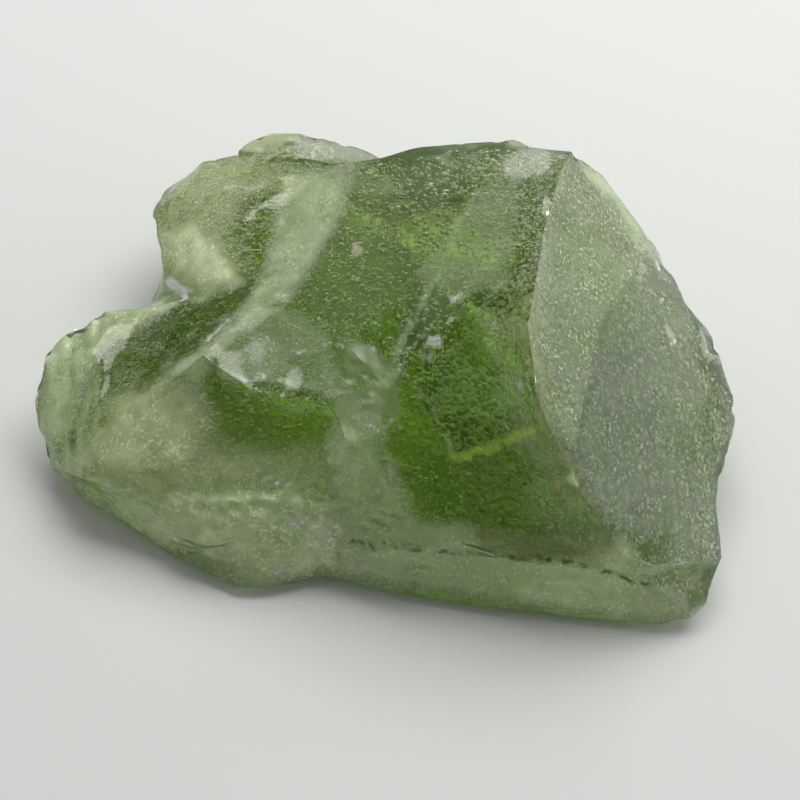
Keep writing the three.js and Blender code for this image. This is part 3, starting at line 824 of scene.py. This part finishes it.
def icosphere(steps):
    """Unit sphere of triangles, from a regular solid of 20 faces."""
    golden = (1 + math.sqrt(5)) / 2
    points = [
        (-1, golden, 0), (1, golden, 0), (-1, -golden, 0), (1, -golden, 0),
        (0, -1, golden), (0, 1, golden), (0, -1, -golden), (0, 1, -golden),
        (golden, 0, -1), (golden, 0, 1), (-golden, 0, -1), (-golden, 0, 1),
    ]
    faces = [
        (0, 11, 5), (0, 5, 1), (0, 1, 7), (0, 7, 10), (0, 10, 11),
        (1, 5, 9), (5, 11, 4), (11, 10, 2), (10, 7, 6), (7, 1, 8),
        (3, 9, 4), (3, 4, 2), (3, 2, 6), (3, 6, 8), (3, 8, 9),
        (4, 9, 5), (2, 4, 11), (6, 2, 10), (8, 6, 7), (9, 8, 1),
    ]
    points, faces = np.array(points), np.array(faces)
    for _ in range(steps):
        count = len(points)
        edges, of_side, _, _ = edge_table(faces)
        middles = (points[edges[:, 0]] + points[edges[:, 1]]) / 2
        faces = quartered(faces, of_side, count)
        points = np.concatenate([points, middles])
    return points / np.linalg.norm(points, axis=1, keepdims=True), faces


def lies_inside(tree, place):
    """Whether the first face straight up and the first one sideways are met from inside."""
    for direction in (Vector((0, 0, 1)), Vector((1, 0, 0))):
        _, normal, _, _ = tree.ray_cast(place, direction)
        if normal is None or normal.dot(direction) <= 0:
            return False
    return True


def skin_places(points, faces, count, random):
    """Random places on the surface, with the directions that lead into the glass there.

    They are few on the faces out of view, and many within the froths' outlines.
    """
    a, b, c = (points[faces[:, k]] for k in range(3))
    inward = np.cross(c - a, b - a)
    area = np.linalg.norm(inward, axis=1)
    seen = inward @ np.array(VIEWED_FROM) < 0
    weight = area * np.where(seen, 1, UNSEEN_SHARE)
    for outline in FROTHS:
        weight *= np.where(seen & (outline_gap(a, outline) < 0), FROTH_SHARE, 1)
    chosen = random.choice(len(faces), count, p=weight / weight.sum())
    u, v = random.random((2, count, 1))
    u, v = np.where(u + v > 1, 1 - u, u), np.where(u + v > 1, 1 - v, v)
    places = a[chosen] * (1 - u - v) + b[chosen] * u + c[chosen] * v
    return places, inward[chosen] / np.maximum(area[chosen, None], TINY)


def bubble_places(stone, radii, depth, random):
    """A place in the glass for each bubble, mostly within the given depth of the surface."""
    points, faces, tree = stone
    found = []
    while len(found) < len(radii):
        places, inward = skin_places(points, faces, len(radii), random)
        depths = random.exponential(depth, len(radii))
        for place, toward, extra in zip(places, inward, depths):
            if len(found) == len(radii):
                break
            reach = radii[len(found)] * LONGEST_STRETCH + BUBBLE_CLEARANCE
            place = Vector(place + toward * (reach + extra))
            if lies_inside(tree, place) and tree.find_nearest(place)[3] > reach:
                found.append(place)
    return np.array(found)


def bubble_cloud(stone, kind):
    """A piece of many bubbles. Their faces point into the hollows, away from the glass."""
    random = np.random.default_rng(kind.seed)
    spread = kind.largest / kind.smallest
    radii = kind.smallest * spread ** random.random(kind.count)
    centres = bubble_places(stone, radii, kind.depth, random)
    ball, ball_faces = icosphere(kind.steps)
    longer = 1 + (LONGEST_STRETCH - 1) * random.random(kind.count)
    on_right = centres[:, 0] > RIGHT_FACE_START
    stretch = np.ones((kind.count, 3))
    stretch[:, 0] = np.where(on_right, 1, longer)
    stretch[:, 1] = np.where(on_right, longer, 1)
    points = centres[:, None, :] + ball[None] * (radii[:, None] * stretch)[:, None, :]
    faces = ball_faces[None, :, ::-1] + (np.arange(kind.count) * len(ball))[:, None, None]
    return mesh_object(kind.name, points.reshape(-1, 3), faces.reshape(-1, 3))


# ---------------------------------------------------------------- stage

# The camera looks at its target from the front. Its elevation is in degrees.
CAMERA_TARGET = (1.54, -6.06, 7.86)
CAMERA_DISTANCE = 196.6
CAMERA_ELEVATION = 55.0
CAMERA_LENS = 105.0
CAMERA_SENSOR = 36.0

# The table's width, and how far it lies below the stone.
TABLE_SIZE = 2400.0
TABLE_GAP = 0.05

# Soft lights that face the stone. Azimuth 0 is behind the stone, 90 to its right.
Panel = namedtuple("Panel", "name azimuth elevation distance width height radiance")
PANELS = (
    Panel("window", 24, 54, 370, 420, 240, 4.3),
    Panel("right_wall", 75, 14, 800, 900, 400, 1.3),
    Panel("back_left", -52, 36, 900, 700, 400, 0.6),
)
WORLD_RADIANCE = 0.20

# How often light bounces, and the brightest that a bounced sample may be.
BOUNCES = 16
GLOSSY_BOUNCES = 8
DIFFUSE_BOUNCES = 4
CLAMP = 8


def add_table():
    half = TABLE_SIZE / 2
    corners = [(-half, -half), (half, -half), (half, half), (-half, half)]
    points = [(x, y, -TABLE_GAP) for x, y in corners]
    table = mesh_object("table", points, [(0, 1, 2), (0, 2, 3)])
    table.data.materials.append(table_material())


def add_camera():
    data = bpy.data.cameras.new("camera")
    data.lens = CAMERA_LENS
    data.sensor_width = CAMERA_SENSOR
    camera = bpy.data.objects.new("camera", data)
    elevation = math.radians(CAMERA_ELEVATION)
    back = Vector((0, -math.cos(elevation), math.sin(elevation)))
    camera.location = metres(Vector(CAMERA_TARGET) + back * CAMERA_DISTANCE)
    camera.rotation_euler = (math.pi / 2 - elevation, 0, 0)
    bpy.context.scene.collection.objects.link(camera)
    bpy.context.scene.camera = camera


def add_panel(panel):
    data = bpy.data.lights.new(panel.name, "AREA")
    data.shape = "RECTANGLE"
    data.size = panel.width / MM_PER_METRE
    data.size_y = panel.height / MM_PER_METRE
    data.energy = panel.radiance * math.pi * data.size * data.size_y
    light = bpy.data.objects.new(panel.name, data)
    turn, rise = math.radians(panel.azimuth), math.radians(panel.elevation)
    level = math.cos(rise)
    out = Vector((math.sin(turn) * level, math.cos(turn) * level, math.sin(rise)))
    light.location = metres(out * panel.distance)
    light.rotation_euler = out.to_track_quat("Z", "Y").to_euler()
    bpy.context.scene.collection.objects.link(light)


def add_world(radiance):
    world = bpy.data.worlds.new("room")
    world.use_nodes = True
    background = world.node_tree.nodes["Background"]
    background.inputs["Color"].default_value = WHITE
    background.inputs["Strength"].default_value = radiance
    bpy.context.scene.world = world


def set_look():
    scene = bpy.context.scene
    scene.view_settings.view_transform = "Standard"
    scene.cycles.max_bounces = BOUNCES
    scene.cycles.transmission_bounces = BOUNCES
    scene.cycles.glossy_bounces = GLOSSY_BOUNCES
    scene.cycles.diffuse_bounces = DIFFUSE_BOUNCES
    scene.cycles.use_denoising = True
    scene.cycles.sample_clamp_indirect = CLAMP


# ---------------------------------------------------------------- the scene

add_camera()
add_world(WORLD_RADIANCE)
for panel in PANELS:
    add_panel(panel)
add_table()
set_look()

stone_points, stone_faces = stone_surface()
stone = mesh_object("stone", stone_points, stone_faces)
stone.data.set_sharp_from_angle(angle=SHARP_ANGLE)
stone.data.materials.append(stone_material())
store_finish(stone, stone_faces, stone_finish(stone_points, stone_faces))
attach(stone, "root")
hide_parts("obsidian")

inside = BVHTree.FromPolygons([Vector(p) for p in stone_points], stone_faces.tolist())
hollow = hollow_material()
for kind in BUBBLE_KINDS:
    cloud = bubble_cloud((stone_points, stone_faces, inside), kind)
    cloud.data.materials.append(hollow)
    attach(cloud, "root")
